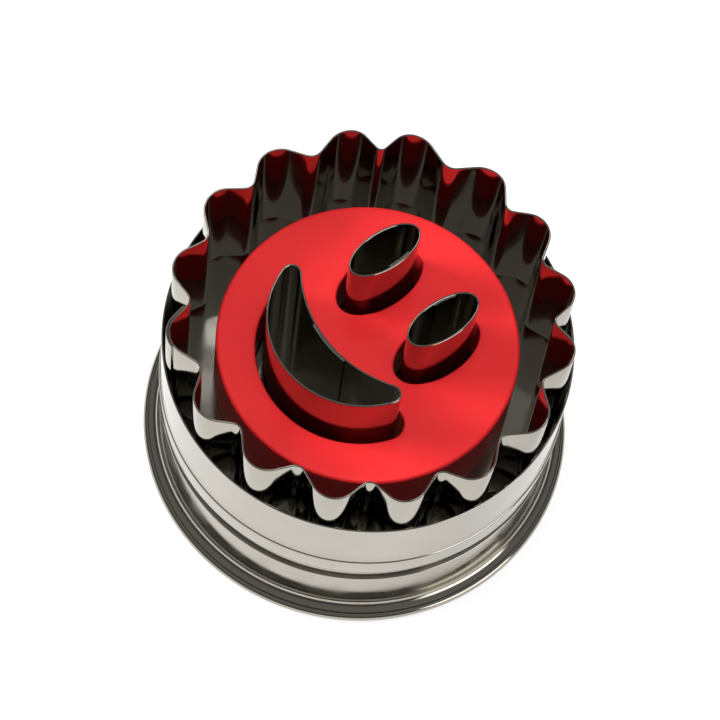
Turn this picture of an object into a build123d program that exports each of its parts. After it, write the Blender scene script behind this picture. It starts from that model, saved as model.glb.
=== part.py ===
from build123d import *
import os
from math import acos, atan2, cos, pi, radians, sin, sqrt

# Linzer cookie cutter, standing cutting edges up, in millimetres.
# The origin is the middle of the rolled rim's flat underside. The face of the cut-outs looks up
# along +Y, so its eyes lie towards +Y, its mouth towards -Y, and the cutter is used upside down.

# Sheet and strip gauges
strip_gauge = 0.25
shell_gauge = 0.3
pan_gauge = 0.3
collar_gauge = 0.3

# Fluted outer cutter
lobe_count = 16
crest_radius = 24.8
flute_depth = 2.9
crest_curve = 2.9
valley_curve = 1.3
flute_turn = 16.5
cutting_height = 17.9
ring_lap_lobe = 10
ring_lap_start = -9.0
ring_lap_end = 3.5

# Cut-outs of the face
eye_spread = 5.75
eye_rise = 6.2
eye_half_width = 2.5
eye_half_length = 5.2
mouth_outer_radius = 11.55
mouth_outer_rise = -1.7
mouth_inner_radius = 15.85
mouth_inner_rise = 9.05
mouth_tip_radius = 1.2
eye_lap_width = 3.0
left_eye_lap_rise = -0.8
right_eye_lap_rise = 1.2
mouth_lap_width = 3.2

# Collar band, the upper ring of the grip
collar_rise = 10.0
collar_swell = 0.22
collar_flare_height = 1.1
collar_curl = 0.6

# Base pan, the floor that carries the cutters
floor_height = 16.0
pan_skirt_depth = 2.7
pan_corner = 0.45

# Grip shell, the lower band with the flange and rolled rim
rim_radius = 26.8
rim_tube = 0.7
rim_flat_sink = 0.04
rim_curl_turn = 260.0
cove_radius = 1.6

# Red ejector disc
disc_radius = 18.75
disc_height = 9.2
disc_deck = 1.6
disc_wall = 1.2
disc_edge = 0.45
opening_gap = 1.0
opening_wall = 1.1
opening_wall_lift = 1.0
opening_edge = 0.25
leg_count = 3
leg_ring = 16.3
leg_radius = 1.6
leg_first_turn = 90.0

# Push plate at the back, worked by the thumb
plate_rest = 1.2
plate_deck = 1.6
plate_wall = 1.2
plate_wall_rise = 2.7
plate_dish = 0.5
plate_dish_radius = 20.0
plate_corner = 0.5
socket_rise = 3.4
socket_wall = 1.3
socket_floor = 0.8
spring_boss_rise = 1.1
spring_boss_wall = 1.0

# Screws that hold the legs to the push plate
screw_head_radius = 1.9
screw_head_height = 0.9
screw_shank_radius = 0.7
screw_bite = 5.5
screw_slot = 0.5
screw_recess = 0.3

# Return spring
spring_radius = 8.0
spring_wire = 0.7
spring_turns = 4.5
spring_end_turns = 0.75
spring_end_pitch = 1.25
arcs_per_turn = 4
heading_step = 0.01
gap_steps = 400
gap_apart_turns = 0.75

# Clearances
crimp_gap = 0.06
nest_gap = 0.05
slide_gap = 0.3
leg_gap = 0.3
socket_gap = 0.05
screw_gap = 0.05
spring_gap = 0.45
seat_gap = 0.04
seam_gap = 0.05

# Worked out from the sizes above
valley_radius = crest_radius - flute_depth
collar_inner_radius = crest_radius + strip_gauge + seam_gap
pan_radius = collar_inner_radius + collar_swell - nest_gap
shell_radius = pan_radius - pan_gauge - nest_gap
skirt_foot = floor_height - pan_gauge - pan_skirt_depth
leg_hole_radius = leg_radius + leg_gap
plate_radius = shell_radius - shell_gauge - slide_gap
plate_top = plate_rest + plate_deck
leg_end = plate_top + socket_floor


standing_up = (Align.CENTER, Align.CENTER, Align.MIN)


def turned(edges):
    profile = make_face(edges)
    return revolve(profile, Axis.Z)


def at(radius, height):
    return Vector(radius, 0, height)


def bend(centre_radius, centre_height, radius, start, end):
    def on(angle):
        turn = radians(angle)
        return at(centre_radius + radius * cos(turn), centre_height + radius * sin(turn))
    return ThreePointArc(on(start), on((start + end) / 2), on(end))


def run(*points):
    return [Line(a, b) for a, b in zip(points, points[1:])]


def polar(radius, turn, height=0.0):
    return Vector(radius * cos(turn), radius * sin(turn), height)


# The flutes are crest arcs and tighter valley arcs joined by their common inner tangents.
def flute_outline(offset):
    crest_bend = crest_curve + offset
    valley_bend = valley_curve - offset
    crest_centre = crest_radius - strip_gauge / 2 - crest_curve
    valley_centre = valley_radius + strip_gauge / 2 + valley_curve
    half_pitch = pi / lobe_count
    start = Vector(crest_centre, 0)
    end = polar(valley_centre, half_pitch)
    across = end - start
    span = across.length
    heading = atan2(across.Y, across.X)
    swing = acos((crest_bend + valley_bend) / span)
    normal = heading - swing
    crest_touch = start + polar(crest_bend, normal)
    valley_touch = end - polar(valley_bend, normal)
    crest_top = Vector(crest_centre + crest_bend, 0)
    valley_foot = polar(valley_centre - valley_bend, half_pitch)
    mirrored = Vector(crest_touch.X, -crest_touch.Y)
    return crest_touch, valley_touch, crest_top, valley_foot, mirrored


def flute_face(offset):
    crest_touch, valley_touch, crest_top, valley_foot, mirrored = flute_outline(offset)
    pitch = 360 / lobe_count
    edges = []
    for lobe in range(lobe_count):
        turn = flute_turn + lobe * pitch
        def spun(point):
            return point.rotate(Axis.Z, turn)
        next_valley = Vector(valley_touch.X, -valley_touch.Y).rotate(Axis.Z, pitch)
        next_crest = mirrored.rotate(Axis.Z, pitch)
        edges.append(ThreePointArc(spun(mirrored), spun(crest_top), spun(crest_touch)))
        edges.append(Line(spun(crest_touch), spun(valley_touch)))
        edges.append(ThreePointArc(spun(valley_touch), spun(valley_foot), spun(next_valley)))
        edges.append(Line(spun(next_valley), spun(next_crest)))
    return make_face(edges)


def sector(start, end, radius):
    middle = (start + end) / 2
    corners = [polar(radius, radians(turn)) for turn in (start, middle, end)]
    return make_face(run(Vector(0, 0), *corners, Vector(0, 0)))


def standing(face, foot, height):
    return extrude(Pos(0, 0, foot) * face, amount=height, dir=(0, 0, 1))


def fluted_cutter_ring():
    strip = flute_face(strip_gauge / 2) - flute_face(-strip_gauge / 2)
    lap = flute_face(strip_gauge + strip_gauge / 2) - flute_face(strip_gauge / 2)
    lap_crest = flute_turn + ring_lap_lobe * 360 / lobe_count
    lap = lap & sector(lap_crest + ring_lap_start, lap_crest + ring_lap_end, 2 * crest_radius)
    return standing(strip + lap, floor_height, cutting_height)


def eye_face(side, grow):
    outline = Ellipse(eye_half_width + grow, eye_half_length + grow)
    return Pos(side * eye_spread, eye_rise) * outline


# The mouth is an outer and an inner arc closed by round tips.
def mouth_face(grow):
    outer = mouth_outer_radius + grow
    inner = mouth_inner_radius - grow
    tip = mouth_tip_radius + grow
    to_outer = outer - tip
    to_inner = inner + tip
    rise = mouth_inner_rise - mouth_outer_rise
    along = (to_outer ** 2 - to_inner ** 2 + rise ** 2) / (2 * rise)
    aside = sqrt(to_outer ** 2 - along ** 2)
    tip_centre = Vector(aside, mouth_outer_rise + along)
    outer_centre = Vector(0, mouth_outer_rise)
    inner_centre = Vector(0, mouth_inner_rise)
    outward = (tip_centre - outer_centre).normalized()
    inward = (inner_centre - tip_centre).normalized()
    outer_touch = tip_centre + outward * tip
    inner_touch = tip_centre + inward * tip
    tip_end = tip_centre + (outward + inward).normalized() * tip
    chin = Vector(0, mouth_outer_rise - outer)
    lip = Vector(0, mouth_inner_rise - inner)
    def flip(point):
        return Vector(-point.X, point.Y)
    edges = [
        ThreePointArc(flip(outer_touch), chin, outer_touch),
        ThreePointArc(outer_touch, tip_end, inner_touch),
        ThreePointArc(inner_touch, lip, flip(inner_touch)),
        ThreePointArc(flip(inner_touch), flip(tip_end), flip(outer_touch)),
    ]
    return make_face(edges)


def tube(outline, lap_place, lap_turn, lap_width):
    strip = outline(0) - outline(-strip_gauge)
    lap_zone = Pos(lap_place) * Rot(0, 0, lap_turn) * Rectangle(lap_width, 2 * lap_width)
    lap = (outline(-strip_gauge) - outline(-2 * strip_gauge)) & lap_zone
    return standing(strip + lap, floor_height, cutting_height)


def eye_cutter(side, lap_rise):
    lap_place = Vector(side * (eye_spread - eye_half_width), eye_rise + lap_rise)
    return tube(lambda grow: eye_face(side, grow), lap_place, 90, eye_lap_width)


def mouth_cutter():
    lap_place = Vector(0, mouth_inner_rise - mouth_inner_radius)
    return tube(mouth_face, lap_place, 0, mouth_lap_width)


def collar_band():
    wall_in = collar_inner_radius
    wall_out = collar_inner_radius + collar_gauge
    seat_in = wall_in + collar_swell
    seat_out = wall_out + collar_swell
    rim = floor_height + collar_rise
    flare_top = floor_height + collar_flare_height
    curl_radius = seat_out - collar_curl
    curl_height = skirt_foot - crimp_gap
    curl_foot = curl_height - collar_curl
    edges = run(at(curl_radius, curl_foot + collar_gauge), at(curl_radius, curl_foot))
    edges += [bend(curl_radius, curl_height, collar_curl, -90, 0)]
    edges += run(at(seat_out, curl_height), at(seat_out, floor_height), at(wall_out, flare_top))
    edges += run(at(wall_out, flare_top), at(wall_out, rim - collar_gauge / 2))
    edges += [bend(wall_out - collar_gauge / 2, rim - collar_gauge / 2, collar_gauge / 2, 0, 180)]
    edges += run(at(wall_in, rim - collar_gauge / 2), at(wall_in, flare_top), at(seat_in, floor_height))
    edges += run(at(seat_in, floor_height), at(seat_in, curl_height))
    edges += [bend(curl_radius, curl_height, collar_curl - collar_gauge, 0, -90)]
    return turned(edges)


def base_pan():
    corner = pan_radius - pan_corner
    corner_height = floor_height - pan_corner
    skirt_in = pan_radius - pan_gauge
    edges = run(at(0, floor_height - pan_gauge), at(0, floor_height), at(corner, floor_height))
    edges += [bend(corner, corner_height, pan_corner, 90, 0)]
    edges += run(at(pan_radius, corner_height), at(pan_radius, skirt_foot), at(skirt_in, skirt_foot))
    edges += run(at(skirt_in, skirt_foot), at(skirt_in, corner_height))
    edges += [bend(corner, corner_height, pan_corner - pan_gauge, 0, 90)]
    edges += run(at(corner, floor_height - pan_gauge), at(0, floor_height - pan_gauge))
    pan = turned(edges)
    for place in leg_places():
        pan -= Pos(place.X, place.Y, floor_height) * Cylinder(leg_hole_radius, 4 * pan_gauge)
    return pan


def grip_shell():
    rim_centre = rim_tube - rim_flat_sink
    flange_top = rim_centre + rim_tube
    cove_centre = shell_radius + cove_radius
    cove_height = flange_top + cove_radius
    wall_in = shell_radius - shell_gauge
    lid = floor_height - pan_corner
    last = 90 - rim_curl_turn
    inner = rim_tube - shell_gauge
    turn = radians(last)
    lip_out = at(rim_radius + rim_tube * cos(turn), rim_centre + rim_tube * sin(turn))
    lip_in = at(rim_radius + inner * cos(turn), rim_centre + inner * sin(turn))
    edges = run(at(wall_in, lid), at(shell_radius, lid), at(shell_radius, cove_height))
    edges += [bend(cove_centre, cove_height, cove_radius, 180, 270)]
    edges += run(at(cove_centre, flange_top), at(rim_radius, flange_top))
    edges += [bend(rim_radius, rim_centre, rim_tube, 90, last)]
    edges += run(lip_out, lip_in)
    edges += [bend(rim_radius, rim_centre, inner, last, 90)]
    edges += run(at(rim_radius, flange_top - shell_gauge), at(cove_centre, flange_top - shell_gauge))
    edges += [bend(cove_centre, cove_height, cove_radius + shell_gauge, 270, 180)]
    edges += run(at(wall_in, cove_height), at(wall_in, lid))
    return split(turned(edges), Plane.XY, keep=Keep.TOP)


def leg_places():
    step = 360 / leg_count
    return [polar(leg_ring, radians(leg_first_turn + leg * step)) for leg in range(leg_count)]


def openings(grow):
    faces = [eye_face(-1, grow), eye_face(1, grow), mouth_face(grow)]
    return faces


def ejector_disc():
    top = floor_height + disc_height
    body = Pos(0, 0, floor_height) * Cylinder(disc_radius, disc_height, align=standing_up)
    body = fillet(body.edges().group_by(Axis.Z)[-1], disc_edge)
    hollow = Cylinder(disc_radius - disc_wall, disc_height - disc_deck, align=standing_up)
    body -= Pos(0, 0, floor_height) * hollow
    wall_foot = floor_height + opening_wall_lift
    for face in openings(opening_gap + opening_wall):
        body += standing(face, wall_foot, top - disc_deck / 2 - wall_foot)
    for place in leg_places():
        leg = Cylinder(leg_radius, top - disc_deck / 2 - leg_end, align=standing_up)
        body += Pos(place.X, place.Y, leg_end) * leg
    for face in openings(opening_gap):
        body -= standing(face, leg_end, top)
    top_edges = body.edges().group_by(Axis.Z)[-1]
    body = fillet([edge for edge in top_edges if edge.length < pi * disc_radius], opening_edge)
    for place in leg_places():
        pilot = Cylinder(screw_shank_radius + screw_gap, screw_bite + screw_recess, align=standing_up)
        body -= Pos(place.X, place.Y, leg_end) * pilot
    return body


def push_plate():
    wall_top = plate_top + plate_wall_rise
    dish_top = plate_rest + plate_dish
    corner = plate_radius - plate_corner
    dish_middle = at(plate_dish_radius / 2, dish_top - plate_dish / 4)
    edges = [ThreePointArc(at(0, dish_top), dish_middle, at(plate_dish_radius, plate_rest))]
    edges += run(at(plate_dish_radius, plate_rest), at(corner, plate_rest))
    edges += [bend(corner, plate_rest + plate_corner, plate_corner, -90, 0)]
    edges += run(at(plate_radius, plate_rest + plate_corner), at(plate_radius, wall_top))
    edges += run(at(plate_radius, wall_top), at(plate_radius - plate_wall, wall_top))
    edges += run(at(plate_radius - plate_wall, wall_top), at(plate_radius - plate_wall, plate_top))
    edges += run(at(plate_radius - plate_wall, plate_top), at(0, plate_top), at(0, dish_top))
    plate = turned(edges)
    boss_out = spring_radius - spring_wire / 2 - spring_gap
    boss = Cylinder(boss_out, spring_boss_rise, align=standing_up)
    boss -= Cylinder(boss_out - spring_boss_wall, spring_boss_rise, align=standing_up)
    plate += Pos(0, 0, plate_top) * boss
    hole = leg_radius + socket_gap
    for place in leg_places():
        here = Pos(place.X, place.Y, 0)
        socket = Cylinder(hole + socket_wall, socket_rise, align=standing_up)
        plate += here * Pos(0, 0, plate_top) * socket
    for place in leg_places():
        here = Pos(place.X, place.Y, 0)
        plate -= here * Pos(0, 0, leg_end) * Cylinder(hole, socket_rise, align=standing_up)
        plate -= here * Cylinder(screw_shank_radius + screw_gap, leg_end + screw_gap, align=standing_up)
        sink = plate_rest + screw_recess + screw_head_height
        plate -= here * Cylinder(screw_head_radius + screw_gap, sink, align=standing_up)
    return plate


def push_plate_screws():
    head_foot = plate_rest + screw_recess
    head_top = head_foot + screw_head_height
    screw = Pos(0, 0, head_foot) * Cylinder(screw_head_radius, screw_head_height, align=standing_up)
    screw = fillet(screw.edges().group_by(Axis.Z)[0], screw_head_height / 2)
    screw -= Pos(0, 0, head_foot) * Box(3 * screw_head_radius, screw_slot, screw_slot * 2)
    shank = Cylinder(screw_shank_radius, leg_end + screw_bite - head_top, align=standing_up)
    screw += Pos(0, 0, head_top) * shank
    return [Pos(place.X, place.Y, 0) * screw for place in leg_places()]


# The coil rises slowly over its end turns and evenly between them.
def coil_point(turns):
    foot = plate_top + seat_gap + spring_wire / 2
    head = floor_height - pan_gauge - seat_gap - spring_wire / 2
    ends = 2 * spring_end_turns * spring_end_pitch
    middle_pitch = (head - foot - ends) / (spring_turns - 2 * spring_end_turns)
    start = min(turns, spring_end_turns)
    finish = max(0.0, turns - (spring_turns - spring_end_turns))
    middle = turns - start - finish
    rise = (start + finish) * spring_end_pitch + middle * middle_pitch
    return polar(spring_radius, 2 * pi * turns, foot + rise)


def coil_heading(turns):
    before = coil_point(max(0.0, turns - heading_step))
    after = coil_point(min(spring_turns, turns + heading_step))
    return (after - before).normalized()


def biarc(start, start_way, end, end_way):
    chord = end - start
    both = start_way + end_way
    spare = 2 * (1 - start_way.dot(end_way))
    reach = (-chord.dot(both) + sqrt(chord.dot(both) ** 2 + spare * chord.dot(chord))) / spare
    near = start + start_way * reach
    far = end - end_way * reach
    joint = (near + far) * 0.5
    first = Edge.make_tangent_arc(start, start_way, joint)
    second = Edge.make_tangent_arc(joint, (far - near).normalized(), end)
    return [first, second]


def return_spring():
    steps = round(spring_turns * arcs_per_turn)
    stations = [spring_turns * step / steps for step in range(steps + 1)]
    edges = []
    for here, there in zip(stations, stations[1:]):
        edges += biarc(coil_point(here), coil_heading(here), coil_point(there), coil_heading(there))
    path = Wire(edges)
    section = Plane(origin=coil_point(0.0), z_dir=coil_heading(0.0)) * Circle(spring_wire / 2)
    coil = sweep(section, path=path)
    fine = [coil_point(spring_turns * step / gap_steps) for step in range(gap_steps + 1)]
    apart = round(gap_apart_turns * gap_steps / spring_turns)
    gap = min((a - b).length for i, a in enumerate(fine) for b in fine[i + apart:])
    print("spring least gap to itself", round(gap - spring_wire, 2))
    return coil


def save(name, shape):
    if isinstance(shape, list):
        shape = Compound(children=shape)
    shape.label = name
    export_step(shape, os.path.join("parts", name + ".step"))


os.makedirs("parts", exist_ok=True)
save("fluted_cutter_ring", fluted_cutter_ring())
save("left_eye_cutter", eye_cutter(-1, left_eye_lap_rise))
save("right_eye_cutter", eye_cutter(1, right_eye_lap_rise))
save("mouth_cutter", mouth_cutter())
save("collar_band", collar_band())
save("base_pan", base_pan())
save("grip_shell", grip_shell())
save("ejector_disc", ejector_disc())
save("push_plate", push_plate())
save("push_plate_screws", push_plate_screws())
save("return_spring", return_spring())
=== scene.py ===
from math import acos, atan2, cos, pi, radians, sin, sqrt

import bmesh
import bpy
from mathutils import Matrix, Vector
from mathutils.geometry import tessellate_polygon


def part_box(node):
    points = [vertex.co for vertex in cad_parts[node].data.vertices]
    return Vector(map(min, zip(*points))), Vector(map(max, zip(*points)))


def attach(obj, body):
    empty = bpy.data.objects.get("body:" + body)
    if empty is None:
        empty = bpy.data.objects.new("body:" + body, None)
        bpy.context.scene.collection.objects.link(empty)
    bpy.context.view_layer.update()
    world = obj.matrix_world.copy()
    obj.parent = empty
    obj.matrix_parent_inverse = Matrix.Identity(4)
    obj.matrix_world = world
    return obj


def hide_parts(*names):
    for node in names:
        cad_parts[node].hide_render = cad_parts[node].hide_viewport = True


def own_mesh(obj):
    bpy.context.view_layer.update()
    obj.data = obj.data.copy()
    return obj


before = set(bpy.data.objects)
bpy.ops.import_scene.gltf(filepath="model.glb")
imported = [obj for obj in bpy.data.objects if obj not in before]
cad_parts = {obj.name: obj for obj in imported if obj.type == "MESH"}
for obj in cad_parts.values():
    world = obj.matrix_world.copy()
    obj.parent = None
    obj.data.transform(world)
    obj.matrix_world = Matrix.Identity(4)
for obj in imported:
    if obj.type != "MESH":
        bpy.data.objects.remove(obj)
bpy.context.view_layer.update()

MM = 0.001

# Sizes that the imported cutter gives
ring_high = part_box("fluted_cutter_ring")[1]
pan_low, pan_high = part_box("base_pan")
collar_low, collar_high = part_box("collar_band")
shell_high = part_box("grip_shell")[1]
disc_low, disc_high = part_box("ejector_disc")
plate_low, plate_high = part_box("push_plate")
spring_low, spring_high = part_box("return_spring")
floor_height = pan_high.z
edge_height = ring_high.z
deck_height = disc_high.z
disc_radius = disc_high.x
pan_radius = pan_high.x
rim_radius_out = shell_high.x
plate_radius = plate_high.x

# Gauges and the sizes of the strips
STRIP = 0.25 * MM
SHEET = 0.3 * MM
LOBES = 16
CREST_RADIUS = 24.8 * MM
VALLEY_RADIUS = 21.9 * MM
CREST_CURVE = 2.9 * MM
VALLEY_CURVE = 1.3 * MM
FLUTE_TURN = radians(16.5)
# How far each crest is turned from its even place, in degrees, and leans out, in mm
LOBE_SHIFTS = (1.3, 2.0, -0.6, -1.1, -2.3, 1.5, -2.2, -0.5,
               -0.6, 0.4, 0.1, 1.6, 1.4, 1.6, 0.4, 0.2)
LOBE_SWELLS = (0.10, -0.02, 0.0, -0.03, -0.06, 0.12, 0.12, 0.16,
               0.22, 0.10, 0.06, 0.14, 0.20, 0.16, 0.12, 0.06)
LAP_LOBE = 10
LAP_START = radians(-9.0)
LAP_END = radians(3.5)
LAP_GAP = 0.01 * MM
LAP_DROP = 0.05 * MM
EDGE_SOFT = 0.08 * MM

# The face of the cut-outs
EYE_SPREAD = 5.75 * MM
EYE_RISE = 6.2 * MM
EYE_HALF_WIDTH = 2.5 * MM
EYE_HALF_LENGTH = 5.2 * MM
MOUTH_OUTER_RADIUS = 11.55 * MM
MOUTH_OUTER_RISE = -1.7 * MM
MOUTH_INNER_RADIUS = 15.85 * MM
MOUTH_INNER_RISE = 9.05 * MM
MOUTH_TIP_RADIUS = 1.2 * MM

# Collar, pan and grip shell
COLLAR_INNER_RADIUS = 25.1 * MM
COLLAR_SWELL = 0.22 * MM
COLLAR_FLARE_HEIGHT = 1.1 * MM
COLLAR_CURL = 0.6 * MM
PAN_CORNER = 0.45 * MM
RIM_TUBE = 0.7 * MM
RIM_SINK = 0.04 * MM
RIM_CURL_TURN = 260.0
COVE_RADIUS = 1.2 * MM
BAND_FLARE = 0.25 * MM
LEDGE = 0.4 * MM
SHOULDER_RADIUS = 0.2 * MM
SHOULDER_HEIGHT = 9.5 * MM
NEST_GAP = 0.05 * MM

# Ejector disc, legs and push plate
DISC_DECK = 1.6 * MM
DISC_WALL = 1.2 * MM
DISC_EDGE = 0.45 * MM
OPENING_GAP = 1.0 * MM
OPENING_WALL = 1.1 * MM
OPENING_LIFT = 1.0 * MM
OPENING_EDGE = 0.25 * MM
LEG_COUNT = 3
LEG_RING = 16.3 * MM
LEG_RADIUS = 1.6 * MM
LEG_FIRST_TURN = radians(90)

# Push plate, its spring boss and its leg sockets
PLATE_DECK = 1.6 * MM
PLATE_WALL = 1.2 * MM
PLATE_CORNER = 0.5 * MM
PLATE_ROUND = 0.15 * MM
DISH = 0.5 * MM
DISH_RADIUS = 20 * MM
BOSS_OUT = 7.2 * MM
BOSS_IN = 6.2 * MM
BOSS_RISE = 1.1 * MM
SOCKET_RISE = 3.4 * MM
SOCKET_OUT = 2.95 * MM
SOCKET_IN = 1.65 * MM
SOCKET_ROOT = 0.2 * MM
LEG_GAP = 0.3 * MM

# Screw heads
HEAD_RADIUS = 1.9 * MM
HEAD_HEIGHT = 0.9 * MM
DOME_RISE = 0.45 * MM
DOME_DRAW = 0.56
SLOT_HALF = 0.25 * MM
SLOT_DEEP = 0.45 * MM
SLOT_TURN = 0.35

# Fineness of the meshes
TURN_STEPS = 384
ARC_STEPS = 10
EYE_STEPS = 160
LOBE_STEPS = 72
FACE_STEPS = 256
LEG_STEPS = 48
HOLE_STEPS = 64
HEAD_ROWS = 9
HEAD_STEPS = 32
SUPPORT = 0.06 * MM


def mesh_piece(name, points, faces, sharp=32.0):
    mesh = bpy.data.meshes.new(name)
    mesh.from_pydata([tuple(point) for point in points], [], faces)
    mesh.validate()
    mesh.shade_smooth()
    mesh.set_sharp_from_angle(angle=radians(sharp))
    piece = bpy.data.objects.new(name, mesh)
    bpy.context.scene.collection.objects.link(piece)
    return piece


def arc(centre_radius, centre_height, radius, start, end, steps=ARC_STEPS):
    turns = [radians(start + (end - start) * step / steps) for step in range(steps + 1)]
    return [(centre_radius + radius * cos(turn), centre_height + radius * sin(turn)) for turn in turns]


# A closed section in radius and height is turned round the upright axis.
def turned(name, section, steps=TURN_STEPS, sharp=32.0):
    points, faces, rings = [], [], []
    for radius, height in section:
        if radius < 1e-9:
            rings.append([len(points)] * steps)
            points.append((0, 0, height))
            continue
        rings.append(list(range(len(points), len(points) + steps)))
        for step in range(steps):
            turn = 2 * pi * step / steps
            points.append((radius * cos(turn), radius * sin(turn), height))
    for here, there in zip(rings, rings[1:] + rings[:1]):
        for step in range(steps):
            corner = [here[step], here[step - 1], there[step - 1], there[step]]
            face = list(dict.fromkeys(corner))
            if len(face) > 2:
                faces.append(face)
    return mesh_piece(name, points, faces, sharp)


def tidy_section(section, least=1e-6):
    kept = []
    for point in section:
        if not kept or (Vector(point) - Vector(kept[-1])).length > least:
            kept.append(point)
    return kept


def ellipse_loop(centre_x, centre_y, half_width, half_length, steps=EYE_STEPS):
    turns = [2 * pi * step / steps for step in range(steps)]
    return [(centre_x + half_width * cos(turn), centre_y + half_length * sin(turn)) for turn in turns]


def eye_loop(side, grow):
    return ellipse_loop(side * EYE_SPREAD, EYE_RISE, EYE_HALF_WIDTH + grow, EYE_HALF_LENGTH + grow)


def left_eye_loop(grow):
    return eye_loop(-1, grow)


def right_eye_loop(grow):
    return eye_loop(1, grow)


def flat_arc(centre, radius, start, end, steps):
    turns = [start + (end - start) * step / steps for step in range(steps)]
    return [(centre.x + radius * cos(turn), centre.y + radius * sin(turn)) for turn in turns]


# The mouth is an outer and an inner arc closed by round tips, drawn anticlockwise.
def mouth_loop(grow):
    outer = MOUTH_OUTER_RADIUS + grow
    inner = MOUTH_INNER_RADIUS - grow
    tip = MOUTH_TIP_RADIUS + grow
    rise = MOUTH_INNER_RISE - MOUTH_OUTER_RISE
    along = ((outer - tip) ** 2 - (inner + tip) ** 2 + rise ** 2) / (2 * rise)
    aside = sqrt((outer - tip) ** 2 - along ** 2)
    tip_centre = Vector((aside, MOUTH_OUTER_RISE + along))
    outer_centre = Vector((0, MOUTH_OUTER_RISE))
    inner_centre = Vector((0, MOUTH_INNER_RISE))
    outward = tip_centre - outer_centre
    inward = inner_centre - tip_centre
    low = atan2(outward.y, outward.x)
    high = atan2(inward.y, inward.x)
    back = atan2(-inward.y, -inward.x)
    left_tip = Vector((-tip_centre.x, tip_centre.y))
    loop = flat_arc(outer_centre, outer, -pi - low, low, 90)
    loop += flat_arc(tip_centre, tip, low, high, 24)
    loop += flat_arc(inner_centre, inner, back, -pi - back, 70)
    loop += flat_arc(left_tip, tip, pi - high, pi - low, 24)
    return loop


# A thin wall follows a closed loop; its section is a strip with softened upper corners.
def wall_piece(name, loop_at, low, high, inner, outer, soften):
    levels = [(outer, low), (outer, high - soften - SUPPORT)]
    levels += [(outer - soften * (1 - cos(turn)), high - soften * (1 - sin(turn)))
               for turn in (0, pi / 6, pi / 3, pi / 2)]
    levels += [(inner + soften * (1 - cos(turn)), high - soften * (1 - sin(turn)))
               for turn in (pi / 2, pi / 3, pi / 6, 0)]
    levels += [(inner, high - soften - SUPPORT), (inner, low)]
    points, faces = [], []
    count = len(loop_at(0))
    for grow, height in levels:
        points += [(x, y, height) for x, y in loop_at(grow)]
    rows = len(levels)
    for row in range(rows):
        after = (row + 1) % rows
        for step in range(count):
            beside = (step + 1) % count
            here, there = row * count, after * count
            faces.append([here + step, here + beside, there + beside, there + step])
    return mesh_piece(name, points, faces)


def made_by(tree, name, **sizes):
    holder = bpy.data.objects.new(name, bpy.data.meshes.new(name))
    bpy.context.scene.collection.objects.link(holder)
    modifier = holder.modifiers.new("shape", "NODES")
    modifier.node_group = tree
    for item in tree.interface.items_tree:
        if item.item_type == "SOCKET" and item.in_out == "INPUT" and item.name in sizes:
            modifier[item.identifier] = sizes[item.name]
    evaluated = holder.evaluated_get(bpy.context.evaluated_depsgraph_get())
    mesh = bpy.data.meshes.new_from_object(evaluated)
    mesh.name = name
    holder.modifiers.clear()
    bpy.data.objects.remove(holder)
    piece = bpy.data.objects.new(name, mesh)
    bpy.context.scene.collection.objects.link(piece)
    return piece


class Tree:
    """A geometry tree with named sizes, and short ways to place and link its nodes."""

    def __init__(self, name, **sizes):
        self.tree = bpy.data.node_groups.new(name, "GeometryNodeTree")
        self.tree.interface.new_socket("Geometry", in_out="OUTPUT", socket_type="NodeSocketGeometry")
        for size, value in sizes.items():
            kind = "NodeSocketInt" if isinstance(value, int) else "NodeSocketFloat"
            socket = self.tree.interface.new_socket(size, in_out="INPUT", socket_type=kind)
            socket.default_value = value
        self.sizes = self.tree.nodes.new("NodeGroupInput").outputs
        self.end = self.tree.nodes.new("NodeGroupOutput")

    def node(self, kind, **settings):
        made = self.tree.nodes.new(kind)
        for key, value in settings.items():
            setattr(made, key, value)
        return made

    def link(self, source, target):
        if isinstance(source, (int, float)):
            target.default_value = source
        else:
            self.tree.links.new(source, target)

    def maths(self, operation, first, second=0.0, third=0.0):
        made = self.node("ShaderNodeMath", operation=operation)
        for source, target in zip((first, second, third), made.inputs):
            self.link(source, target)
        return made.outputs[0]

    def pick(self, choice, if_not, if_so):
        made = self.node("GeometryNodeSwitch", input_type="FLOAT")
        for source, target in zip((choice, if_not, if_so), made.inputs):
            self.link(source, target)
        return made.outputs[0]

    def points(self, count):
        line = self.node("GeometryNodeMeshLine", mode="OFFSET")
        self.link(count, line.inputs["Count"])
        return line.outputs[0], self.node("GeometryNodeInputIndex").outputs[0]

    def stand_round(self, points, radius, turn, height):
        spot = self.node("ShaderNodeCombineXYZ")
        self.link(self.maths("MULTIPLY", radius, self.maths("COSINE", turn)), spot.inputs[0])
        self.link(self.maths("MULTIPLY", radius, self.maths("SINE", turn)), spot.inputs[1])
        self.link(height, spot.inputs[2])
        place = self.node("GeometryNodeSetPosition")
        self.link(points, place.inputs["Geometry"])
        self.link(spot.outputs[0], place.inputs["Position"])
        return place.outputs[0]

    def as_path(self, points):
        path = self.node("GeometryNodeMeshToCurve")
        self.link(points, path.inputs[0])
        return path.outputs[0]

    def swept(self, path, section):
        body = self.node("GeometryNodeCurveToMesh")
        self.link(path, body.inputs["Curve"])
        self.link(section, body.inputs["Profile Curve"])
        body.inputs["Fill Caps"].default_value = True
        return body.outputs[0]

    def finish(self, geometry, material):
        real = self.node("GeometryNodeRealizeInstances")
        self.link(geometry, real.inputs[0])
        coat = self.node("GeometryNodeSetMaterial")
        coat.inputs["Material"].default_value = material
        self.link(real.outputs[0], coat.inputs[0])
        self.link(coat.outputs[0], self.end.inputs[0])
        return self.tree


def shader(name):
    material = bpy.data.materials.new(name)
    material.use_nodes = True
    nodes = material.node_tree.nodes
    return material, nodes, material.node_tree.links, nodes["Principled BSDF"]


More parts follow.
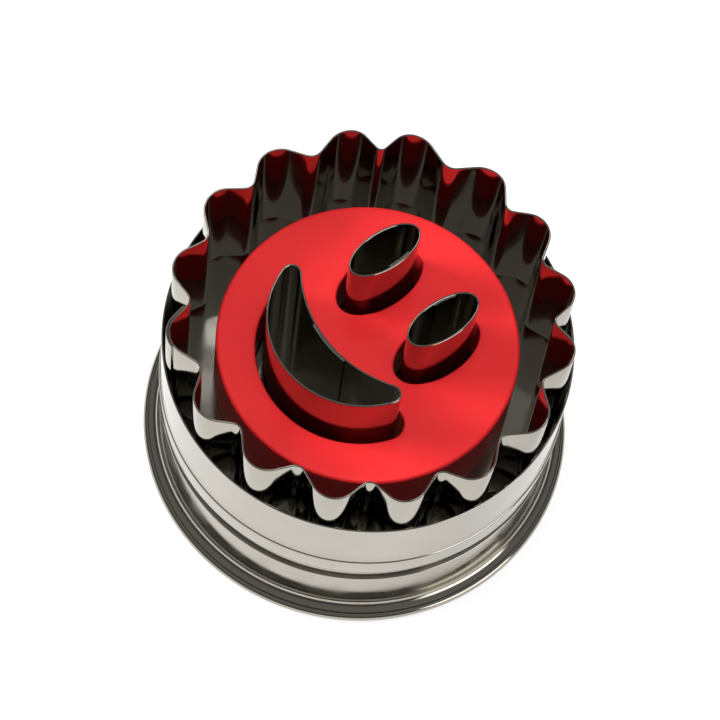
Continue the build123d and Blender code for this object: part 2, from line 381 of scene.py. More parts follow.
def add(nodes, kind, **settings):
    made = nodes.new(kind)
    for key, value in settings.items():
        setattr(made, key, value)
    return made


def noise(nodes, links, vector, scale, detail):
    made = add(nodes, "ShaderNodeTexNoise")
    made.inputs["Scale"].default_value = scale
    made.inputs["Detail"].default_value = detail
    links.new(vector, made.inputs["Vector"])
    return made.outputs[0]


# The surface's colour runs from one to the other with the share.
def tinted(nodes, links, surface, first, second, share):
    tint = add(nodes, "ShaderNodeMix", data_type="RGBA")
    tint.inputs["A"].default_value = (*first, 1)
    tint.inputs["B"].default_value = (*second, 1)
    links.new(share, tint.inputs["Factor"])
    links.new(tint.outputs["Result"], surface.inputs["Base Color"])


# Polished stainless sheet: near-mirror, with polishing marks that run round the axis or up the
# strip, a faint cloudiness and the gentle waves of thin metal.
def polished_steel(name, colour, roughness, marks, wave_size, wave_depth, mark_depth):
    material, nodes, links, surface = shader(name)
    surface.inputs["Metallic"].default_value = 1.0
    place = add(nodes, "ShaderNodeTexCoord")
    split = add(nodes, "ShaderNodeSeparateXYZ")
    links.new(place.outputs["Object"], split.inputs[0])
    joined = add(nodes, "ShaderNodeCombineXYZ")
    if marks == "round":
        length = add(nodes, "ShaderNodeVectorMath", operation="LENGTH")
        flat = add(nodes, "ShaderNodeVectorMath", operation="MULTIPLY")
        flat.inputs[1].default_value = (1, 1, 0)
        links.new(place.outputs["Object"], flat.inputs[0])
        links.new(flat.outputs[0], length.inputs[0])
        links.new(length.outputs["Value"], joined.inputs[0])
        links.new(split.outputs["Z"], joined.inputs[1])
        sway = add(nodes, "ShaderNodeMath", operation="MULTIPLY")
        sway.inputs[1].default_value = 0.004
        links.new(split.outputs["X"], sway.inputs[0])
        links.new(sway.outputs[0], joined.inputs[2])
    else:
        links.new(split.outputs["X"], joined.inputs[0])
        links.new(split.outputs["Y"], joined.inputs[1])
        rise = add(nodes, "ShaderNodeMath", operation="MULTIPLY")
        rise.inputs[1].default_value = 0.03
        links.new(split.outputs["Z"], rise.inputs[0])
        links.new(rise.outputs[0], joined.inputs[2])
    fine = noise(nodes, links, joined.outputs[0], 9000, 3)
    cloud = noise(nodes, links, place.outputs["Object"], 260, 4)
    wave = noise(nodes, links, joined.outputs[0], 1 / wave_size, 1)
    haze = add(nodes, "ShaderNodeMapRange")
    haze.inputs["From Min"].default_value = 0.35
    haze.inputs["From Max"].default_value = 0.75
    haze.inputs["To Min"].default_value = roughness * 0.7
    haze.inputs["To Max"].default_value = roughness * 1.7
    links.new(cloud, haze.inputs["Value"])
    links.new(haze.outputs[0], surface.inputs["Roughness"])
    tinted(nodes, links, surface, colour, [part * 0.9 for part in colour], cloud)
    soft = add(nodes, "ShaderNodeBump")
    soft.inputs["Strength"].default_value = 1.0
    soft.inputs["Distance"].default_value = wave_depth
    links.new(wave, soft.inputs["Height"])
    marks_bump = add(nodes, "ShaderNodeBump")
    marks_bump.inputs["Strength"].default_value = 1.0
    marks_bump.inputs["Distance"].default_value = mark_depth
    links.new(fine, marks_bump.inputs["Height"])
    links.new(soft.outputs[0], marks_bump.inputs["Normal"])
    links.new(marks_bump.outputs[0], surface.inputs["Normal"])
    return material


def red_plastic():
    material, nodes, links, surface = shader("red_moulded_plastic")
    place = add(nodes, "ShaderNodeTexCoord")
    grain = noise(nodes, links, place.outputs["Object"], 2600, 2)
    flow = noise(nodes, links, place.outputs["Object"], 60, 3)
    tinted(nodes, links, surface, (0.72, 0.021, 0.024), (0.79, 0.028, 0.031), flow)
    gloss = add(nodes, "ShaderNodeMapRange")
    gloss.inputs["To Min"].default_value = 0.28
    gloss.inputs["To Max"].default_value = 0.42
    links.new(flow, gloss.inputs["Value"])
    links.new(gloss.outputs[0], surface.inputs["Roughness"])
    surface.inputs["Specular IOR Level"].default_value = 0.3
    surface.inputs["Subsurface Weight"].default_value = 0.12
    surface.inputs["Subsurface Radius"].default_value = (1.0, 0.15, 0.1)
    surface.inputs["Subsurface Scale"].default_value = 0.0012
    bump = add(nodes, "ShaderNodeBump")
    bump.inputs["Distance"].default_value = 0.000006
    links.new(grain, bump.inputs["Height"])
    links.new(bump.outputs[0], surface.inputs["Normal"])
    return material


steel_colour = (0.40, 0.372, 0.32)
strip_steel = polished_steel("polished_strip_steel", steel_colour, roughness=0.07, marks="up",
                             wave_size=9 * MM, wave_depth=0.012 * MM, mark_depth=0.0009 * MM)
collar_steel = polished_steel("polished_collar_steel", steel_colour, roughness=0.1, marks="round",
                              wave_size=14 * MM, wave_depth=0.015 * MM, mark_depth=0.0006 * MM)
spun_steel = polished_steel("spun_shell_steel", steel_colour, roughness=0.12, marks="round",
                            wave_size=14 * MM, wave_depth=0.015 * MM, mark_depth=0.001 * MM)
pan_steel = polished_steel("polished_pan_steel", steel_colour, roughness=0.1, marks="up",
                           wave_size=12 * MM, wave_depth=0.01 * MM, mark_depth=0.0003 * MM)
screw_metal = polished_steel("plated_screw_steel", (0.55, 0.55, 0.54), roughness=0.22, marks="up",
                             wave_size=4 * MM, wave_depth=0.01 * MM, mark_depth=0.001 * MM)
wire_steel = polished_steel("spring_wire_steel", (0.5, 0.5, 0.5), roughness=0.2, marks="up",
                            wave_size=5 * MM, wave_depth=0.01 * MM, mark_depth=0.001 * MM)
red_disc = red_plastic()


def dress(piece, material, body, slot, *nodes):
    piece.data.materials.clear()
    piece.data.materials.append(material)
    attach(piece, body)
    if nodes:
        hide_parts(*nodes)
    return piece


# The flute's half lobe is a crest arc, a straight flank and a valley arc. Each is a formula for
# the radius at an angle from the crest, so the tree only needs where they meet.
def flank_of(offset):
    crest_bend = CREST_CURVE + offset
    valley_bend = VALLEY_CURVE - offset
    crest_centre = CREST_RADIUS - STRIP / 2 - CREST_CURVE
    valley_centre = VALLEY_RADIUS + STRIP / 2 + VALLEY_CURVE
    half_pitch = pi / LOBES
    start = Vector((crest_centre, 0))
    end = Vector((valley_centre * cos(half_pitch), valley_centre * sin(half_pitch)))
    across = end - start
    normal = atan2(across.y, across.x) - acos((crest_bend + valley_bend) / across.length)
    way = Vector((cos(normal), sin(normal)))
    crest_touch = start + way * crest_bend
    valley_touch = end - way * valley_bend
    return {
        "Crest centre": crest_centre,
        "Crest bend": crest_bend,
        "Valley centre": valley_centre,
        "Valley bend": valley_bend,
        "Flank normal": normal,
        "Flank distance": crest_touch.dot(way),
        "Crest end": atan2(crest_touch.y, crest_touch.x),
        "Valley start": atan2(valley_touch.y, valley_touch.x),
    }


# How far out a flute's arc lies at a turn, on the side of its centre that is named
def arc_reach(maths, centre, bend, turn, side):
    aside = maths("MULTIPLY", centre, maths("SINE", turn))
    square = maths("SUBTRACT", maths("POWER", bend, 2.0), maths("POWER", aside, 2.0))
    reach = maths("SQRT", maths("MAXIMUM", 0.0, square))
    return maths(side, maths("MULTIPLY", centre, maths("COSINE", turn)), reach)


def flute_tree():
    made = Tree(
        "fluted_strip", **{"Lobes": LOBES, "Steps": LOBE_STEPS, "Turn": 0.0, "Start": 0.0, "Sweep": 1.0,
                           "Foot": 0.0, "Height": 0.01, "Gauge": 0.00025},
        **{size: 0.0 for size in flank_of(0.0)},
    )
    size = made.sizes
    maths = made.maths
    half = maths("DIVIDE", pi, size["Lobes"])
    count = maths("MULTIPLY", size["Lobes"], size["Steps"])
    spread = maths("CEIL", maths("MULTIPLY", count, size["Sweep"]))
    line, index = made.points(maths("ADD", spread, 1.0))
    share = maths("DIVIDE", index, count)
    angle = maths("ADD", maths("MULTIPLY", share, 2 * pi), size["Start"])
    folded = maths("PINGPONG", angle, half)
    crest = arc_reach(maths, size["Crest centre"], size["Crest bend"], folded, "ADD")
    lean = maths("COSINE", maths("SUBTRACT", folded, size["Flank normal"]))
    flank = maths("DIVIDE", size["Flank distance"], lean)
    beside = maths("SUBTRACT", half, folded)
    valley = arc_reach(maths, size["Valley centre"], size["Valley bend"], beside, "SUBTRACT")
    past_crest = maths("GREATER_THAN", folded, size["Crest end"])
    in_valley = maths("GREATER_THAN", folded, size["Valley start"])
    radius = made.pick(in_valley, made.pick(past_crest, crest, flank), valley)
    turn = maths("ADD", angle, size["Turn"])
    middle = maths("ADD", size["Foot"], maths("MULTIPLY", size["Height"], 0.5))
    path = made.as_path(made.stand_round(line, radius, turn, middle))
    upright = made.node("GeometryNodeSetCurveNormal", mode="Z_UP")
    made.link(path, upright.inputs[0])
    section = made.node("GeometryNodeCurvePrimitiveQuadrilateral")
    made.link(size["Gauge"], section.inputs["Width"])
    made.link(size["Height"], section.inputs["Height"])
    corners = made.node("GeometryNodeFilletCurve", mode="POLY")
    corners.inputs["Count"].default_value = 4
    made.link(section.outputs[0], corners.inputs["Curve"])
    made.link(maths("MULTIPLY", size["Gauge"], 0.35), corners.inputs["Radius"])
    return made.finish(made.swept(upright.outputs[0], corners.outputs[0]), strip_steel)


# The points and faces of several pieces in one; the pieces themselves go.
def join(*pieces):
    points, faces = [], []
    for piece in pieces:
        base = len(points)
        points += [vertex.co.copy() for vertex in piece.data.vertices]
        faces += [[base + corner for corner in face.vertices] for face in piece.data.polygons]
        bpy.data.objects.remove(piece)
    return points, faces


# The strip was bent by hand, so each crest is a little off its even place and leans out or in.
def hand_bent(points):
    bent = []
    for x, y, z in points:
        turn = atan2(y, x)
        place = ((turn - FLUTE_TURN) / (2 * pi) * LOBES) % LOBES
        here = int(place) % LOBES
        share = place - int(place)
        ease = share * share * (3 - 2 * share)
        shift = LOBE_SHIFTS[here] + (LOBE_SHIFTS[(here + 1) % LOBES] - LOBE_SHIFTS[here]) * ease
        swell = LOBE_SWELLS[here] + (LOBE_SWELLS[(here + 1) % LOBES] - LOBE_SWELLS[here]) * ease
        rise = (z - floor_height) / (edge_height - floor_height)
        radius = sqrt(x * x + y * y) + swell * MM * rise
        turn += radians(shift) * (0.75 + 0.25 * rise)
        bent.append((radius * cos(turn), radius * sin(turn), z))
    return bent


def fluted_ring():
    tree = flute_tree()
    lap_turn = FLUTE_TURN + LAP_LOBE * 2 * pi / LOBES
    full = (2 * pi - STRIP / CREST_RADIUS / 4) / (2 * pi)
    sizes = {"Foot": floor_height, "Height": edge_height - floor_height, "Gauge": STRIP}
    strip = made_by(tree, "ring_strip", Turn=lap_turn, Start=LAP_END, Sweep=full, **sizes, **flank_of(0.0))
    outer = flank_of(STRIP + LAP_GAP)
    share = (LAP_END - LAP_START) / (2 * pi)
    lap = made_by(tree, "ring_lap", Turn=lap_turn, Start=LAP_START, Sweep=share, **sizes, **outer)
    points, faces = join(strip, lap)
    return mesh_piece("fluted_ring", hand_bent(points), faces, 14.0)


# The laps are short strips laid against the tube wall.
def lap_strip(loop_at, first, last, inner, outer, low, high):
    count = len(loop_at(0))
    picks = [step % count for step in range(first, last + 1)]
    inside, outside = loop_at(inner), loop_at(outer)
    points, faces = [], []
    for pick in picks:
        points += [(*outside[pick], low), (*outside[pick], high), (*inside[pick], high), (*inside[pick], low)]
    for row in range(len(picks) - 1):
        base, after = 4 * row, 4 * row + 4
        for side in range(4):
            beside = (side + 1) % 4
            faces.append([base + side, after + side, after + beside, base + beside])
    end = 4 * (len(picks) - 1)
    faces += [[0, 1, 2, 3], [end + 3, end + 2, end + 1, end]]
    return points, faces


def tube_piece(name, loop_at, lap_first, lap_last):
    wall = wall_piece(name + "_wall", loop_at, floor_height, edge_height, -STRIP, 0.0, EDGE_SOFT)
    points, faces = join(wall)
    lap_high = edge_height - LAP_DROP
    more, others = lap_strip(loop_at, lap_first, lap_last, -2 * STRIP, -STRIP, floor_height, lap_high)
    base = len(points)
    points += more
    faces += [[base + corner for corner in face] for face in others]
    return mesh_piece(name, points, faces, 18.0)


def collar():
    rim = collar_high.z
    wall_in, wall_out = COLLAR_INNER_RADIUS, COLLAR_INNER_RADIUS + SHEET
    seat_in, seat_out = wall_in + COLLAR_SWELL, wall_out + COLLAR_SWELL
    flare = floor_height + COLLAR_FLARE_HEIGHT
    curl_radius = seat_out - COLLAR_CURL
    curl_height = collar_low.z + COLLAR_CURL
    # The crease where the wall leaves its seat is drawn in steps of this softness.
    soft = 0.12 * MM
    section = arc(curl_radius, curl_height, COLLAR_CURL, -90, 0)
    section += [(seat_out, floor_height - 3 * soft)]
    section += [(seat_out, floor_height - 1.5 * soft), (seat_out - 0.3 * soft, floor_height - 0.6 * soft)]
    section += [(seat_out - 1.1 * soft, floor_height), (seat_out - 1.2 * soft, floor_height + soft)]
    section += [(wall_out, flare + soft), (wall_out, flare + 3 * soft)]
    section += [(wall_out, rim - SHEET / 2 - SUPPORT)]
    section += arc(wall_out - SHEET / 2, rim - SHEET / 2, SHEET / 2, 0, 180)
    section += [(wall_in, rim - SHEET / 2 - SUPPORT), (wall_in, flare), (seat_in, floor_height)]
    section += arc(curl_radius, curl_height, COLLAR_CURL - SHEET, 0, -90)
    return turned("collar_band_shell", tidy_section(section), sharp=40.0)


def shell():
    rim_centre = RIM_TUBE - RIM_SINK
    flange = rim_centre + RIM_TUBE
    wall_out = COLLAR_INNER_RADIUS + COLLAR_SWELL - 2 * NEST_GAP - SHEET
    wall_in = wall_out - SHEET
    cove_height = flange + COVE_RADIUS
    rim_radius = rim_radius_out - RIM_TUBE
    last = 90 - RIM_CURL_TURN
    inner = RIM_TUBE - SHEET
    band_out = wall_out + LEDGE
    foot_out = band_out + BAND_FLARE
    cove_radius = foot_out + COVE_RADIUS
    section = [(wall_out, shell_high.z), (wall_out, SHOULDER_HEIGHT + SHOULDER_RADIUS + SUPPORT)]
    section += arc(band_out - SHOULDER_RADIUS, SHOULDER_HEIGHT, SHOULDER_RADIUS, 82, 0, 8)
    section += [(band_out, SHOULDER_HEIGHT - SUPPORT), (foot_out, cove_height + SUPPORT)]
    section += arc(cove_radius, cove_height, COVE_RADIUS, 180, 270)
    section += [(cove_radius + 2 * SUPPORT, flange)]
    section += arc(rim_radius, rim_centre, RIM_TUBE, 90, last, 26)
    section += arc(rim_radius, rim_centre, inner, last, 90, 26)
    section += arc(cove_radius, cove_height, COVE_RADIUS + SHEET, 270, 180)
    section += [(foot_out - SHEET, cove_height + SUPPORT)]
    section += [(band_out - SHEET, SHOULDER_HEIGHT - SUPPORT), (wall_in, SHOULDER_HEIGHT + SUPPORT)]
    section += [(wall_in, shell_high.z)]
    section = [(radius, max(height, 0.0)) for radius, height in section]
    return turned("grip_shell_spun", tidy_section(section[::-1]), sharp=40.0)


def circle_loop(x, y, radius, steps):
    turns = [2 * pi * step / steps for step in range(steps)]
    return [(x + radius * cos(turn), y + radius * sin(turn)) for turn in turns]


def round_loop(radius):
    return circle_loop(0, 0, radius, FACE_STEPS)


def leveled(loop, height):
    return [(x, y, height) for x, y in loop]


def quarter(steps):
    return [pi / 2 * step / steps for step in range(steps + 1)]


# Rows of points share a count, and each is bridged to the next.
def bridge(points, faces, rows, flip=False):
    starts = []
    for row in rows:
        starts.append(len(points))
        points += row
    count = len(rows[0])
    for here, there in zip(starts, starts[1:]):
        for step in range(count):
            beside = (step + 1) % count
            face = [here + step, here + beside, there + beside, there + step]
            faces.append(face[::-1] if flip else face)


def flat_area(points, faces, loops, height, upward):
    lists = [[Vector((x, y, height)) for x, y in loop] for loop in loops]
    triangles = tessellate_polygon(lists)
    base = len(points)
    for loop in lists:
        points += [tuple(point) for point in loop]
    for triangle in triangles:
        a, b, c = [Vector(points[base + corner]) for corner in triangle]
        rises = (b - a).cross(c - a).z > 0
        face = [base + corner for corner in triangle]
        faces.append(face if rises == upward else face[::-1])


def merged(name, points, faces, sharp):
    piece = mesh_piece(name, points, faces, sharp)
    work = bmesh.new()
    work.from_mesh(piece.data)
    bmesh.ops.remove_doubles(work, verts=work.verts, dist=1e-7)
    bmesh.ops.recalc_face_normals(work, faces=work.faces)
    work.to_mesh(piece.data)
    work.free()
    piece.data.shade_smooth()
    piece.data.set_sharp_from_angle(angle=radians(sharp))
    return piece


def leg_spots():
    turns = [LEG_FIRST_TURN + 2 * pi * leg / LEG_COUNT for leg in range(LEG_COUNT)]
    return [(LEG_RING * cos(turn), LEG_RING * sin(turn)) for turn in turns]


# The disc is a flat deck with a rounded rim, a skirt, a wall round each opening and legs.
def ejector():
    points, faces = [], []
    foot = floor_height
    deck, under = deck_height, deck_height - DISC_DECK
    wall_foot = floor_height + OPENING_LIFT
    skirt_in = disc_radius - DISC_WALL
    rows = [leveled(round_loop(disc_radius - DISC_EDGE - SUPPORT), deck)]
    for turn in quarter(8):
        radius = disc_radius - DISC_EDGE * (1 - sin(turn))
        rows.append(leveled(round_loop(radius), deck - DISC_EDGE * (1 - cos(turn))))
    rows.append(leveled(round_loop(disc_radius), deck - DISC_EDGE - SUPPORT))
    rows.append(leveled(round_loop(disc_radius), foot))
    rows += [leveled(round_loop(skirt_in), foot), leveled(round_loop(skirt_in), under)]
    bridge(points, faces, rows)
    makers = [left_eye_loop, right_eye_loop, mouth_loop]
    for loop_at in makers:
        rows = [leveled(loop_at(OPENING_GAP + OPENING_EDGE + SUPPORT), deck)]
        for turn in quarter(6):
            grow = OPENING_GAP + OPENING_EDGE * (1 - sin(turn))
            rows.append(leveled(loop_at(grow), deck - OPENING_EDGE * (1 - cos(turn))))
        rows.append(leveled(loop_at(OPENING_GAP), deck - OPENING_EDGE - SUPPORT))
        rows.append(leveled(loop_at(OPENING_GAP), wall_foot))
        rows.append(leveled(loop_at(OPENING_GAP + OPENING_WALL), wall_foot))
        rows.append(leveled(loop_at(OPENING_GAP + OPENING_WALL), under))
        bridge(points, faces, rows, flip=True)
    top = [round_loop(disc_radius - DISC_EDGE - SUPPORT)]
    top += [loop_at(OPENING_GAP + OPENING_EDGE + SUPPORT) for loop_at in makers]
    flat_area(points, faces, top, deck, True)
    legs = [circle_loop(x, y, LEG_RADIUS, LEG_STEPS) for x, y in leg_spots()]
    low = [round_loop(skirt_in)] + [loop_at(OPENING_GAP + OPENING_WALL) for loop_at in makers] + legs
    flat_area(points, faces, low, under, False)
    leg_foot = disc_low.z
    for leg in legs:
        bridge(points, faces, [leveled(leg, under), leveled(leg, leg_foot)])
        flat_area(points, faces, [leg], leg_foot, False)
    return merged("red_ejector_disc", points, faces, 30.0)


def pan():
    points, faces = [], []
    top, under = floor_height, floor_height - SHEET
    corner = pan_radius - PAN_CORNER
    bend = PAN_CORNER - SHEET
    rows = [leveled(round_loop(corner - SUPPORT), top)]
    for turn in quarter(6):
        rows.append(leveled(round_loop(corner + PAN_CORNER * sin(turn)), top - PAN_CORNER * (1 - cos(turn))))
    rows += [leveled(round_loop(pan_radius), pan_low.z), leveled(round_loop(pan_radius - SHEET), pan_low.z)]
    for turn in reversed(quarter(6)):
        rows.append(leveled(round_loop(corner + bend * sin(turn)), top - PAN_CORNER + bend * cos(turn)))
    bridge(points, faces, rows)
    holes = [circle_loop(x, y, LEG_RADIUS + LEG_GAP, HOLE_STEPS) for x, y in leg_spots()]
    flat_area(points, faces, [round_loop(corner - SUPPORT)] + holes, top, True)
    flat_area(points, faces, [round_loop(corner)] + holes, under, False)
    for loop in holes:
        bridge(points, faces, [leveled(loop, top), leveled(loop, under)], flip=True)
    return merged("pan_floor", points, faces, 40.0)


# Push plate: a dished disc with a rim wall, a spring boss and three leg sockets.
def plate():
    rest = plate_low.z
    deck = rest + PLATE_DECK
    corner = PLATE_CORNER
    shares = [step / 12 for step in range(13)]
    section = [(DISH_RADIUS * share, rest + DISH * (1 - share ** 2)) for share in shares]
    section += [(plate_radius - corner - SUPPORT, rest)]
    section += arc(plate_radius - corner, rest + corner, corner, -90, 0, 8)
    section += [(plate_radius, plate_high.z - PLATE_ROUND), (plate_radius - PLATE_ROUND, plate_high.z)]
    inside = plate_radius - PLATE_WALL
    section += [(inside + PLATE_ROUND, plate_high.z), (inside, plate_high.z - PLATE_ROUND)]
    section += [(inside, deck), (BOSS_OUT, deck), (BOSS_OUT, deck + BOSS_RISE)]
    section += [(BOSS_IN, deck + BOSS_RISE), (BOSS_IN, deck), (0.0, deck)]
    base = turned("plate_base", tidy_section(section), FACE_STEPS)
    points, faces = join(base)
    low, high = deck - SOCKET_ROOT, deck + SOCKET_RISE
    for x, y in leg_spots():
        outer, inner = circle_loop(x, y, SOCKET_OUT, LEG_STEPS), circle_loop(x, y, SOCKET_IN, LEG_STEPS)
        rows = [leveled(outer, low), leveled(outer, high), leveled(inner, high), leveled(inner, low)]
        bridge(points, faces, rows)
    return merged("push_plate_moulding", points, faces, 30.0)


# The tree stands one screw head below each leg and turns its slot with the leg's place.
def screw_tree():
    made = Tree("plate_screws", **{"Count": LEG_COUNT, "Ring radius": LEG_RING,
                                   "First turn": LEG_FIRST_TURN, "Foot": plate_low.z})
    size, maths = made.sizes, made.maths
    line, index = made.points(size["Count"])
    turn = maths("ADD", maths("MULTIPLY", maths("DIVIDE", index, size["Count"]), 2 * pi), size["First turn"])
    head = made.node("GeometryNodeObjectInfo")
    head.inputs["Object"].default_value = screw_shape()
    head.inputs["As Instance"].default_value = False
    copies = made.node("GeometryNodeInstanceOnPoints")
    made.link(made.stand_round(line, size["Ring radius"], turn, size["Foot"]), copies.inputs["Points"])
    made.link(head.outputs["Geometry"], copies.inputs["Instance"])
    spin = made.node("ShaderNodeCombineXYZ")
    made.link(maths("ADD", turn, SLOT_TURN), spin.inputs[2])
    made.link(spin.outputs[0], copies.inputs["Rotation"])
    return made.finish(copies.outputs[0], screw_metal)


# A domed head with a real slot: two half domes are parted by the slot's floor.
def screw_shape():
    points, faces = [], []
    limit = acos(SLOT_HALF / HEAD_RADIUS)
    width = HEAD_STEPS + 1
    for side in (1, -1):
        grid = []
        for lean in quarter(HEAD_ROWS - 1):
            reach = HEAD_RADIUS * (1 - DOME_DRAW * (1 - cos(lean)))
            lift = DOME_RISE * (1 - sin(lean))
            turns = [pi / 2 - limit + 2 * limit * step / HEAD_STEPS for step in range(width)]
            grid.append([(reach * cos(turn), side * max(reach * sin(turn), SLOT_HALF), lift)
                         for turn in turns])
        for here, there in zip(grid, grid[1:]):
            base = len(points)
            points += here + there
            for step in range(HEAD_STEPS):
                face = [base + step, base + step + 1, base + width + step + 1, base + width + step]
                faces.append(face if side < 0 else face[::-1])
        base = len(points)
        points += grid[-1]
        face = [base + step for step in range(width)]
        faces.append(face if side < 0 else face[::-1])
        base = len(points)
        first, last = grid[0][0][0], grid[0][-1][0]
        slot = side * SLOT_HALF
        points += [(first, slot, 0.0), (last, slot, 0.0), (last, slot, SLOT_DEEP), (first, slot, SLOT_DEEP)]
        faces.append([base, base + 1, base + 2, base + 3])
    base = len(points)
    rim = circle_loop(0, 0, HEAD_RADIUS, HOLE_STEPS)
    points += leveled(rim, DOME_RISE) + leveled(rim, HEAD_HEIGHT)
    top = base + HOLE_STEPS
    for step in range(HOLE_STEPS):
        beside = (step + 1) % HOLE_STEPS
        faces.append([base + step, top + step, top + beside, base + beside])
    faces.append([base + step for step in range(HOLE_STEPS)])
    faces.append([top + step for step in range(HOLE_STEPS)][::-1])
    return mesh_piece("screw_shape", points, faces)


# The spring's path rises slowly over its end turns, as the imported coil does.
def spring_tree():
    made = Tree("return_coil", **{"Turns": 4.5, "Radius": 8 * MM, "Wire": 0.7 * MM, "Foot": spring_low.z,
                                  "Rise": spring_high.z - spring_low.z, "End turns": 0.75,
                                  "End pitch": 1.25 * MM, "Steps": 480})
    size, maths = made.sizes, made.maths
    line, index = made.points(maths("ADD", size["Steps"], 1.0))
    turns = maths("MULTIPLY", maths("DIVIDE", index, size["Steps"]), size["Turns"])
    start = maths("MINIMUM", turns, size["End turns"])
    last_end = maths("SUBTRACT", size["Turns"], size["End turns"])
    finish = maths("MAXIMUM", 0.0, maths("SUBTRACT", turns, last_end))
    middle = maths("SUBTRACT", maths("SUBTRACT", turns, start), finish)
    ends = maths("MULTIPLY", maths("MULTIPLY", size["End turns"], 2.0), size["End pitch"])
    open_turns = maths("SUBTRACT", size["Turns"], maths("MULTIPLY", size["End turns"], 2.0))
    climb = maths("SUBTRACT", maths("SUBTRACT", size["Rise"], size["Wire"]), ends)
    pitch = maths("DIVIDE", climb, open_turns)
    lift = maths("ADD", maths("MULTIPLY", maths("ADD", start, finish), size["End pitch"]),
                 maths("MULTIPLY", middle, pitch))
    turn = maths("MULTIPLY", turns, 2 * pi)
    half_wire = maths("MULTIPLY", size["Wire"], 0.5)
    height = maths("ADD", maths("ADD", size["Foot"], half_wire), lift)
    path = made.as_path(made.stand_round(line, size["Radius"], turn, height))
    section = made.node("GeometryNodeCurvePrimitiveCircle")
    section.inputs["Resolution"].default_value = 20
    made.link(half_wire, section.inputs["Radius"])
    return made.finish(made.swept(path, section.outputs[0]), wire_steel)


dress(fluted_ring(), strip_steel, "housing", "polished_steel", "fluted_cutter_ring")
left_eye = tube_piece("left_eye_tube", left_eye_loop, lap_first=155, lap_last=172)
right_eye = tube_piece("right_eye_tube", right_eye_loop, lap_first=62, lap_last=79)
mouth = tube_piece("mouth_tube", mouth_loop, lap_first=138, lap_last=159)
dress(left_eye, strip_steel, "housing", "polished_steel", "left_eye_cutter")
dress(right_eye, strip_steel, "housing", "polished_steel", "right_eye_cutter")
dress(mouth, strip_steel, "housing", "polished_steel", "mouth_cutter")
dress(collar(), collar_steel, "housing", "polished_steel", "collar_band")
dress(pan(), pan_steel, "housing", "polished_steel", "base_pan")
dress(shell(), spun_steel, "housing", "polished_steel", "grip_shell")
dress(ejector(), red_disc, "ejector", "red_plastic", "ejector_disc")
dress(plate(), red_disc, "ejector", "red_plastic", "push_plate")
screws = made_by(screw_tree(), "push_plate_screw_heads")
bpy.data.objects.remove(bpy.data.objects["screw_shape"])
dress(screws, screw_metal, "ejector", "screw_steel", "push_plate_screws")
spring = made_by(spring_tree(), "return_spring_wire")
spring.data.shade_smooth()
dress(spring, wire_steel, "housing", "spring_steel", "return_spring")
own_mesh(spring)


# Studio: a pale table, a pale surround and soft boxes above.
def studio_floor():
    half = 1.2
    corners = [(-half, -half, 0), (half, -half, 0), (half, half, 0), (-half, half, 0)]
    mesh = bpy.data.meshes.new("table")
    mesh.from_pydata(corners, [], [(0, 1, 2, 3)])
    floor = bpy.data.objects.new("table", mesh)
    bpy.context.scene.collection.objects.link(floor)
    floor.location.z = -0.05 * MM
    material, nodes, links, surface = shader("white_table")
    surface.inputs["Base Color"].default_value = (0.36, 0.36, 0.36, 1)
    surface.inputs["Roughness"].default_value = 0.9
    surface.inputs["Specular IOR Level"].default_value = 0.1
    surface.inputs["Emission Color"].default_value = (1, 1, 1, 1)
    surface.inputs["Emission Strength"].default_value = 0.7
    mesh.materials.append(material)


def soft_box(name, place, aim, width, height, power, colour=(1, 1, 1)):
    light = bpy.data.lights.new(name, "AREA")
    light.shape = "RECTANGLE"
    light.size = width
    light.size_y = height
    light.energy = power
    light.color = colour
    lamp = bpy.data.objects.new(name, light)
    lamp.location = place
    lamp.rotation_euler = (Vector(aim) - Vector(place)).to_track_quat("-Z", "Y").to_euler()
    bpy.context.scene.collection.objects.link(lamp)
    return lamp


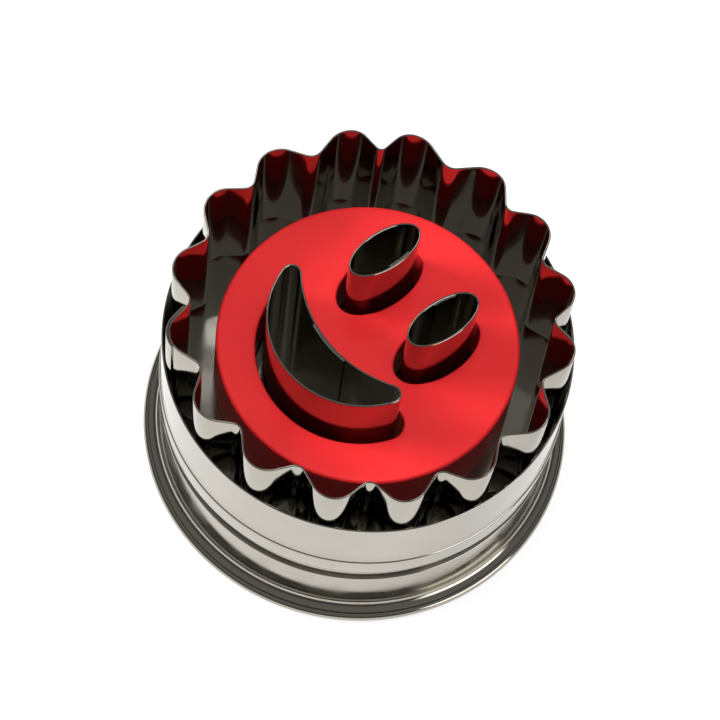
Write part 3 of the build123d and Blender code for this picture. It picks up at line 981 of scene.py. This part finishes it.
def surroundings():
    world = bpy.data.worlds.new("pale_studio")
    bpy.context.scene.world = world
    world.use_nodes = True
    nodes, links = world.node_tree.nodes, world.node_tree.links
    nodes.clear()
    place = nodes.new("ShaderNodeTexCoord")
    split = nodes.new("ShaderNodeSeparateXYZ")
    links.new(place.outputs["Generated"], split.inputs[0])
    fade = nodes.new("ShaderNodeValToRGB")
    fade.color_ramp.elements[0].position = 0.0
    fade.color_ramp.elements[0].color = (0.12, 0.12, 0.12, 1)
    fade.color_ramp.elements[1].position = 0.7
    fade.color_ramp.elements[1].color = (0.23, 0.23, 0.23, 1)
    middle = fade.color_ramp.elements.new(0.35)
    middle.color = (0.08, 0.08, 0.08, 1)
    links.new(split.outputs["Z"], fade.inputs["Fac"])
    room = nodes.new("ShaderNodeBackground")
    links.new(fade.outputs[0], room.inputs["Color"])
    room.inputs["Strength"].default_value = 1.0
    end = nodes.new("ShaderNodeOutputWorld")
    links.new(room.outputs[0], end.inputs[0])


def set_camera():
    turn, rise, roll = radians(43.9), radians(65.193), radians(-9.409)
    distance, aside, above, top = 360 * MM, 1.63 * MM, 5.863 * MM, edge_height
    east = Vector((cos(turn), sin(turn), 0))
    north = Vector((-sin(turn) * sin(rise), cos(turn) * sin(rise), cos(rise)))
    back = Vector((sin(turn) * cos(rise), -cos(turn) * cos(rise), sin(rise)))
    right = cos(roll) * east - sin(roll) * north
    up = sin(roll) * east + cos(roll) * north
    place = Vector((0, 0, top)) + distance * back - aside * right - above * up
    view = bpy.data.cameras.new("photo_camera")
    view.lens = 149.755
    view.sensor_width = 36
    view.clip_start = 0.01
    view.clip_end = 20
    camera = bpy.data.objects.new("photo_camera", view)
    rotation = Matrix((right, up, back)).transposed()
    camera.matrix_world = Matrix.Translation(place) @ rotation.to_4x4()
    bpy.context.scene.collection.objects.link(camera)
    bpy.context.scene.camera = camera


studio_floor()
surroundings()
top_box = soft_box("top_box", (0, 0, 1.0), (0, 0, 0.02), 0.45, 0.45, 7)
left_box = soft_box("left_box", (-0.6, -0.5, 0.45), (0, 0, 0.02), 0.4, 0.3, 11)
left_box.visible_glossy = False
top_box.visible_glossy = False
soft_box("glint_box", (0, 0, 1.0), (0, 0, 0.02), 0.3, 0.3, 0.5)
soft_box("right_box", (0.75, 0.15, 0.3), (0, 0, 0.02), 0.5, 0.4, 2.0)
soft_box("floor_panel", (-0.38, 0.276, 0.883), (0, 0, 0.01), 0.1, 0.08, 0.11)
set_camera()
scene = bpy.context.scene
scene.view_settings.view_transform = "Standard"
